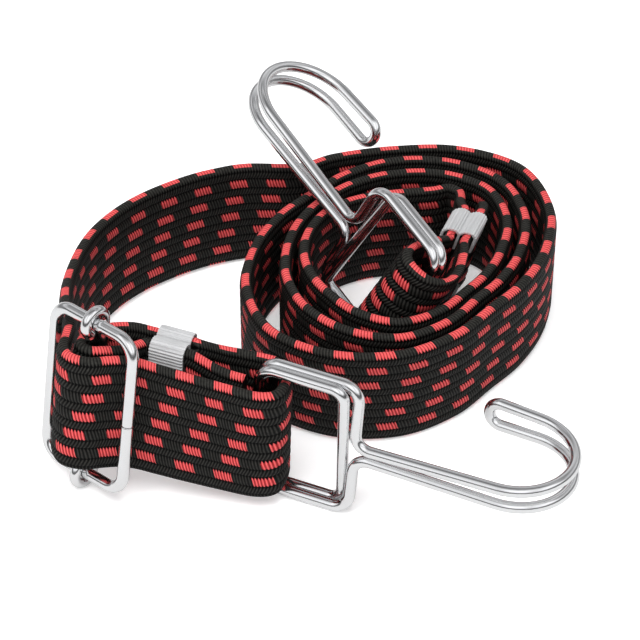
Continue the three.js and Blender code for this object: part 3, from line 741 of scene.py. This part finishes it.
# Stage: a sheet of white paper that the coil stands on. Mirrored in the metal it is greyer than to
# the camera, as paper further off would be.
paper_half, paper_height = 3, -0.0002
floor_mesh = bpy.data.meshes.new("floor")
floor_corners = [
    (x * paper_half, y * paper_half, paper_height) for x, y in ((-1, -1), (1, -1), (1, 1), (-1, 1))]
floor_mesh.from_pydata(floor_corners, [], [(0, 1, 2, 3)])
floor = bpy.data.objects.new("floor", floor_mesh)
bpy.context.collection.objects.link(floor)
paper_seen, paper_mirrored = (0.9, 0.9, 0.9, 1), (0.5, 0.5, 0.5, 1)
paper = bpy.data.materials.new("paper")
paper.use_nodes = True
t = paper.node_tree
paper_shader = t.nodes["Principled BSDF"]
paper_level = mix(t, node(t, "ShaderNodeLightPath").outputs["Is Glossy Ray"], paper_seen, paper_mirrored)
t.links.new(paper_level, paper_shader.inputs["Base Color"])
t.links.new(paper_level, paper_shader.inputs["Emission Color"])
paper_shader.inputs["Roughness"].default_value = 1.0
paper_shader.inputs["Specular IOR Level"].default_value = 0.0
paper_shader.inputs["Emission Strength"].default_value = 0.4
floor.data.materials.append(paper)


def card_ramp(tree, factor, stops):
    """A ramp of greys from pairs of place and level: the dark cards and soft boxes that stand round
    the object, as the metal mirrors them. The first two pairs are the ramp's two ends."""
    made = node(tree, "ShaderNodeValToRGB", [factor])
    elements = made.color_ramp.elements
    for index, (place, level) in enumerate(stops):
        stop = elements[index] if index < 2 else elements.new(place)
        stop.position = place
        stop.color = (level, level, level * card_blue, 1)
    return made.outputs[0]


# Surround: white to the camera, an even grey to the cloth, and cards by height and side to the metal
card_blue = 1.01
front_cards = (
    (0.0, 0.30), (1.0, 0.35), (0.08, 0.12), (0.25, 0.15), (0.34, 0.6), (0.44, 1.2), (0.86, 1.25), (0.95, 0.6))
back_cards = (
    (0.0, 0.6), (1.0, 0.2), (0.12, 0.28), (0.30, 0.32), (0.42, 0.8), (0.60, 0.55), (0.72, 0.28), (0.82, 0.6),
    (0.93, 0.2))
side_cards = (
    (0.0, 0.7), (1.0, 0.6), (0.2, 0.95), (0.3, 0.65), (0.45, 1.0), (0.6, 1.0), (0.72, 0.7), (0.85, 1.0))
front_to_back = (-0.12, 0.12)
cloth_surround, camera_surround = (0.42, 0.42, 0.43, 1), (1, 1, 1, 1)
world = bpy.data.worlds.new("surround")
bpy.context.scene.world = world
world.use_nodes = True
t = world.node_tree
background = t.nodes["Background"]
rays = node(t, "ShaderNodeLightPath")
towards = node(t, "ShaderNodeSeparateXYZ", [node(t, "ShaderNodeTexCoord").outputs["Generated"]])
facing_back = node(
    t, "ShaderNodeMapRange", [towards.outputs[1], *front_to_back], interpolation_type="SMOOTHSTEP")
halves = mix(
    t, facing_back.outputs[0], card_ramp(t, towards.outputs[2], front_cards),
    card_ramp(t, towards.outputs[2], back_cards))
by_side = card_ramp(t, calc(t, "MULTIPLY_ADD", towards.outputs[0], 0.5, 0.5), side_cards)
cards = mix(t, 1.0, halves, by_side, blend="MULTIPLY")
surround = mix(t, rays.outputs["Is Glossy Ray"], cloth_surround, cards)
seen = mix(t, rays.outputs["Is Camera Ray"], surround, camera_surround)
t.links.new(seen, background.inputs["Color"])
background.inputs["Strength"].default_value = 1.0

# Lamps: three soft panels, which light the cloth and are kept out of the metal
lamp_target = Vector((0, 0, 0.02))
for lamp_name, where, size, power in (
        ("top_panel", (-0.1, -0.35, 0.95), 0.7, 11.0),
        ("left_panel", (-0.9, -0.5, 0.5), 0.5, 2.2),
        ("back_panel", (0.2, 0.9, 0.7), 0.6, 2.5)):
    lamp = bpy.data.lights.new(lamp_name, "AREA")
    lamp.energy = power
    lamp.size = size
    panel = bpy.data.objects.new(lamp_name, lamp)
    panel.location = where
    panel.rotation_euler = (lamp_target - Vector(where)).to_track_quat("-Z", "Y").to_euler()
    bpy.context.collection.objects.link(panel)
    panel.visible_glossy = False

# Camera: a long lens from in front, looking down at the middle of the route's own axes
camera_lens, camera_sensor = 189, 36
camera_distance = 0.98
camera_elevation = math.radians(41)
look_at = Vector(frame_shift)
camera_data = bpy.data.cameras.new("camera")
camera_data.lens = camera_lens
camera_data.sensor_width = camera_sensor
camera_data.clip_start = 0.01
camera = bpy.data.objects.new("camera", camera_data)
bpy.context.collection.objects.link(camera)
camera_way = Vector((0, -math.cos(camera_elevation), math.sin(camera_elevation)))
camera.location = look_at + camera_distance * camera_way
camera.rotation_euler = (math.pi / 2 - camera_elevation, 0, 0)
bpy.context.scene.camera = camera
bpy.context.scene.view_settings.view_transform = "Standard"
